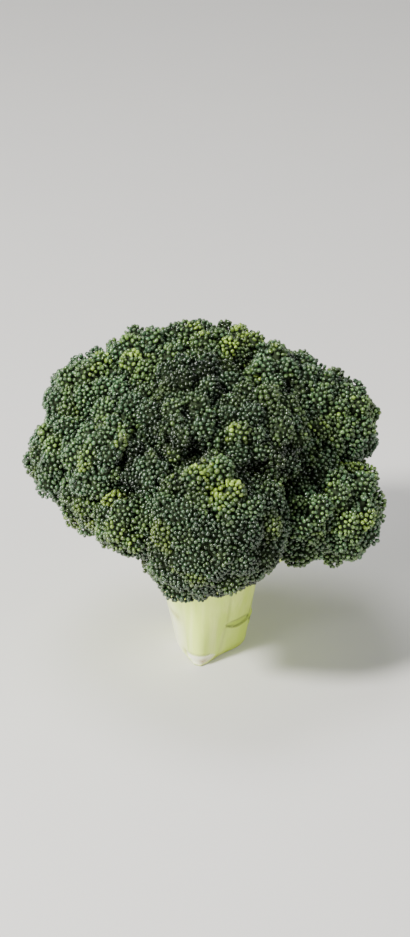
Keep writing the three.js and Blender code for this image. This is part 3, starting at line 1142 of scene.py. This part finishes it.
@dataclass
class Stalk:
    """The stem with its branches: the solid's form, rounded and given its skin. Millimetres."""

    voxel: float = 0.85
    rounds: int = 14
    crisp_below: tuple[float, float] = (1.0, 5.0)
    middle: tuple[float, float] = (0.0, 2.0)
    scars: tuple[LeafScar, ...] = (
        LeafScar(-37, 17.0, 17, 4.2, -6, 0.55),
        LeafScar(3, 14.0, 9, 6.5, 0, 0.5),
        LeafScar(-104, 3.2, 13, 5.0, 0, 0.45, bare=True),
        LeafScar(100, 9, 16, 4.0, -5, 0.6, dark=0.4),
        LeafScar(165, 24, 13, 3.6, 6, 0.6, dark=0.4),
    )
    grooves: tuple[Groove, ...] = (
        Groove((-11, 24), (-14, 16), 0.9, 0.4, 0.6),
        Groove((-62, 34), (-61, 21), 0.8, 0.25, 0.25),
        Groove((-66, 16), (-72, 5), 1.1, -0.3, 0.25),
        Groove((-128, 30), (-118, 8), 1.2, -0.25, 0.12),
        Groove((60, 30), (52, 4), 1.2, 0.3, 0.25),
        Groove((135, 26), (140, 3), 1.2, 0.3, 0.2),
        Groove((-165, 28), (-160, 6), 1.1, 0.25, 0.2),
    )
    smudges: tuple[Smudge, ...] = (
        Smudge(-150, 22, 7, 3.5, olive=0.8),
        Smudge(-136, 21, 4, 5, olive=0.7),
        Smudge(-97, 2.8, 4.5, 2.6, brown=0.95),
        Smudge(-126, 3.4, 5, 2.6, olive=0.9),
        Smudge(-78, 1.4, 6, 2.2, olive=0.8),
        Smudge(-30, 2.0, 9, 2.6, olive=0.4),
        Smudge(75, 18, 6, 5, olive=0.4),
        Smudge(120, 7, 4, 2, brown=0.5),
    )

    def rounded(self) -> bpy.types.Mesh:
        """The solid with even small faces and soft joints, and the cut kept crisp and flat."""
        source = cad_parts["stalk"]
        rough = bpy.data.objects.new("rough_stalk", source.data.copy())
        bpy.context.scene.collection.objects.link(rough)
        remesh = rough.modifiers.new("even", "REMESH")
        remesh.mode = "VOXEL"
        remesh.voxel_size = self.voxel * MM
        graph = bpy.context.evaluated_depsgraph_get()
        mesh = bpy.data.meshes.new_from_object(rough.evaluated_get(graph))
        bpy.data.objects.remove(rough)
        mesh.name = "stalk_skin"
        count = len(mesh.vertices)
        points = np.empty(count * 3, np.float32)
        mesh.vertices.foreach_get("co", points)
        points = points.reshape(-1, 3).astype(float) / MM
        edges = np.empty(len(mesh.edges) * 2, np.int32)
        mesh.edges.foreach_get("vertices", edges)
        points = self.smoothed(points, edges.reshape(-1, 2))
        self.points = points
        mesh.vertices.foreach_set("co", (self.marked() * MM).astype(np.float32).ravel())
        return mesh

    def smoothed(self, points: Array, edges: Array) -> Array:
        """Evens out the surface, less so near the cut.

        Args:
            points: The mesh's points.
            edges: Pairs of point numbers.

        Returns:
            The points, moved.
        """
        count = len(points)
        ends = np.concatenate([edges, edges[:, ::-1]])
        degree = np.bincount(ends[:, 0], minlength=count)
        share = 0.6 * smoothstep(points[:, 2], *self.crisp_below)[:, None]
        for _ in range(self.rounds):
            mean = np.stack(
                [np.bincount(ends[:, 0], points[ends[:, 1], k], count) for k in range(3)], axis=1
            )
            points = points + share * (mean / degree[:, None] - points)
        points[:, 2] = np.where(points[:, 2] < 0.4 * self.voxel, 0.0, points[:, 2])
        return points

    def stem_places(self) -> tuple[Array, Array, Array]:
        """Each point's side of the stem in degrees, height, and distance from the stem's axis."""
        spoke = self.points[:, :2] - np.array(self.middle)
        turn = np.degrees(np.arctan2(spoke[:, 1], spoke[:, 0]))
        return turn, self.points[:, 2], np.linalg.norm(spoke, axis=1)

    def scar_place(self, scar: LeafScar) -> tuple[Array, Array]:
        """Where each point lies on a scar.

        Args:
            scar: The leaf scar.

        Returns:
            How far along it, from -1 to 1, and how far up it, from -1 to 1 at its edges.
        """
        turn, height, away = self.stem_places()
        aside = np.radians((turn - scar.turn + 180) % 360 - 180) * away
        up = height - scar.height
        tilt = math.radians(scar.tilt)
        along = (aside * math.cos(tilt) + up * math.sin(tilt)) / (scar.width / 2)
        across = (up * math.cos(tilt) - aside * math.sin(tilt)) / (scar.tall / 2)
        lens = np.sqrt(np.maximum(1 - along**2, 0.02))
        outside = np.maximum(np.abs(along) - 1, 0) * 4
        return along, np.sign(across) * (np.abs(across) / lens + outside)

    def groove_line(self, groove: Groove) -> Array:
        """How near each point is to a groove, from 0 to 1 in its middle."""
        turn, height, away = self.stem_places()
        share = (groove.top[1] - height) / (groove.top[1] - groove.foot[1])
        middle = groove.top[0] + (groove.foot[0] - groove.top[0]) * np.clip(share, 0, 1)
        aside = np.radians((turn - middle + 180) % 360 - 180) * away
        beyond = np.maximum(np.abs(share - 0.5) - 0.5, 0) * (groove.top[1] - groove.foot[1])
        return np.exp(-((aside / groove.width) ** 2) - (beyond / 1.5) ** 2)

    def smudge_share(self, smudge: Smudge) -> Array:
        """How much of a smudge lies on each point, from 0 to 1 in its middle."""
        turn, height, away = self.stem_places()
        aside = np.radians((turn - smudge.turn + 180) % 360 - 180) * away
        spread = (aside / (smudge.width / 2)) ** 2 + ((height - smudge.height) / (smudge.tall / 2)) ** 2
        return np.exp(-spread)

    def marked(self) -> Array:
        """The points with the leaf scars and grooves pressed in, and low ribs along the stem."""
        turn, height, away = self.stem_places()
        stem = 1 - smoothstep(height, 30, 44)
        inward = np.zeros(len(self.points))
        for scar in self.scars:
            _, across = self.scar_place(scar)
            bed = 1 - smoothstep(np.abs(across), 0.55, 1.0)
            lip = np.exp(-(((across + 1.25) / 0.35) ** 2))
            inward += scar.depth * (bed - 0.7 * lip)
        for groove in self.grooves:
            inward += groove.depth * self.groove_line(groove)
        angle = np.radians(turn)
        ribs = 0.18 * np.cos(5 * angle + 1) + 0.12 * np.cos(11 * angle + 2.4)
        out = (ribs - inward) * smoothstep(height, 0.5, 2.5) * stem
        spoke = self.points[:, :2] - np.array(self.middle)
        moved = self.points.copy()
        moved[:, :2] += spoke / np.maximum(away, 1)[:, None] * out[:, None]
        return moved

    def tones(self) -> tuple[Array, Array]:
        """Values for the finish at each point.

        Returns:
            Rows of how pale, how green and how creased the skin is, the paleness being a painted
            highlight down the stalk's left side and the bare scars' own pale beds, and rows of how
            much it is the cut face, how brown and how olive.
        """
        turn, height, _ = self.stem_places()
        # painted highlight: a pale band down the stalk's left side, where the light falls
        painted_highlight = np.exp(-((((turn + 155 + 180) % 360 - 180) / 27) ** 2))
        pale = 0.8 * painted_highlight * (1 - smoothstep(height, 14, 36))
        right = np.cos(np.radians(turn + 20))
        green = 0.6 * smoothstep(right, 0.45, 1.0) * (1 - smoothstep(height, 14, 34))
        green += 0.5 * (1 - smoothstep(height, 0.6, 3.0)) * smoothstep(right, 0.1, 0.8)
        crease = np.zeros(len(turn))
        brown = np.zeros(len(turn))
        olive = np.zeros(len(turn))
        for scar in self.scars:
            along, across = self.scar_place(scar)
            inside = np.abs(along) < 1.05
            bed = 1 - smoothstep(np.abs(across), 0.7, 1.0)
            if scar.bare:
                pale += 0.8 * bed + 0.9 * np.exp(-(((across - 1.0) / 0.22) ** 2)) * inside
                crease += 0.5 * np.exp(-(((across - 1.4) / 0.2) ** 2)) * inside
            else:
                green += 0.5 * bed
                lower = 0.9 * np.exp(-(((across + 0.75) / 0.28) ** 2)) * inside
                upper = 0.75 * min(scar.width / self.scars[0].width, 1.0) ** 2
                upper = upper * np.exp(-(((across - 0.9) / 0.24) ** 2)) * inside
                crease += scar.dark * (0.12 * bed + lower + upper)
        for groove in self.grooves:
            crease += groove.dark * self.groove_line(groove)
        for smudge in self.smudges:
            share = self.smudge_share(smudge)
            brown += smudge.brown * share
            olive += smudge.olive * share
        cut = (height < 0.05).astype(float)
        _, _, away = self.stem_places()
        brown += 0.35 * np.exp(-(((away - 13.0) / 1.2) ** 2)) * cut
        tone = np.stack([np.clip(pale, 0, 1), np.clip(green, 0, 0.9), np.clip(crease, 0, 0.9)], axis=1)
        return tone, np.stack([cut * 0.8, np.clip(brown, 0, 1), np.clip(olive, 0, 1)], axis=1)

    def build(self) -> bpy.types.Object:
        """Makes the piece and puts it in the place of its solid."""
        mesh = self.rounded()
        tone, marks = self.tones()
        add_values(mesh, "stalk_tone_and_highlight", tone)
        add_values(mesh, "stalk_marks", marks)
        mesh.materials.clear()
        mesh.materials.append(StalkFinish().make())
        mesh.shade_smooth()
        return put_in_place(mesh, "stalk")


@dataclass(frozen=True)
class Lamp:
    """A soft round lamp: where it is, its width and its power."""

    name: str
    at: Point
    width: float
    power: float
    colour: Point = (1.0, 1.0, 1.0)

    def build(self, target: Point) -> None:
        """Makes the lamp and turns it to the target."""
        data = bpy.data.lights.new(self.name, "AREA")
        data.shape = "DISK"
        data.size = self.width
        data.energy = self.power
        data.color = self.colour
        lamp = bpy.data.objects.new(self.name, data)
        lamp.location = self.at
        way = Vector(target) - Vector(self.at)
        lamp.rotation_euler = way.to_track_quat("-Z", "Y").to_euler()
        bpy.context.scene.collection.objects.link(lamp)


@dataclass
class Studio:
    """A plain pale floor and soft light, mostly from the upper left."""

    floor_width: float = 6.0
    floor_colour: Colour = (0.72, 0.71, 0.69, 1)
    sky: Colour = (0.96, 0.98, 1.0, 1)
    sky_strength: float = 0.18
    target: Point = (0.0, 0.0, 0.08)
    lamps: tuple[Lamp, ...] = (
        Lamp("key", (-0.85, -0.6, 1.1), 0.24, 41.0, (1.0, 0.98, 0.93)),
        Lamp("top", (-0.25, 0.3, 1.3), 0.6, 10.0),
        Lamp("side", (1.1, -0.5, 0.7), 0.8, 8.0),
        Lamp("low", (-1.1, -0.8, 0.2), 0.5, 14.0),
    )

    def build(self) -> None:
        """Makes the floor, the lamps and the sky."""
        half = self.floor_width / 2
        mesh = bpy.data.meshes.new("floor")
        mesh.from_pydata(
            [(-half, -half, 0), (half, -half, 0), (half, half, 0), (-half, half, 0)],
            [],
            [(0, 1, 2, 3)],
        )
        paper = Finish("floor_paper")
        grain = paper.noise(paper.place(), 40, 3)
        darker = tuple(0.97 * value for value in self.floor_colour[:3]) + (1,)
        paper.set(Base_Color=paper.mix(grain, darker, self.floor_colour), Roughness=0.85)
        mesh.materials.append(paper.material)
        floor = bpy.data.objects.new("floor", mesh)
        bpy.context.scene.collection.objects.link(floor)
        for lamp in self.lamps:
            lamp.build(self.target)
        world = bpy.data.worlds.new("sky")
        world.use_nodes = True
        sky = world.node_tree.nodes["Background"]
        sky.inputs["Color"].default_value = self.sky
        sky.inputs["Strength"].default_value = self.sky_strength
        bpy.context.scene.world = world


@dataclass(frozen=True)
class PhotoCamera:
    """The camera of the photograph: above the head's front, looking 30 degrees down."""

    target: Point = (-0.0018, 0.0, 0.092)
    down: float = 30.0
    away: float = 1.3
    lens_mm: float = 112.5
    sensor_mm: float = 36.0

    def build(self) -> None:
        """Makes the camera and hands it to the scene."""
        data = bpy.data.cameras.new("photo_camera")
        data.lens = self.lens_mm
        data.sensor_width = self.sensor_mm
        data.clip_start = 0.05
        angle = math.radians(self.down)
        back = Vector((0, -math.cos(angle), math.sin(angle)))
        camera = bpy.data.objects.new("photo_camera", data)
        camera.location = Vector(self.target) + back * self.away
        camera.rotation_euler = (-back).to_track_quat("-Z", "Y").to_euler()
        bpy.context.scene.collection.objects.link(camera)
        bpy.context.scene.camera = camera


def main() -> None:
    """Builds the camera, the head and the studio."""
    logging.basicConfig(level=logging.INFO, format="%(message)s")
    PhotoCamera().build()
    Stalk().build()
    Crown().build()
    Studio().build()


if __name__ == "__main__":
    main()
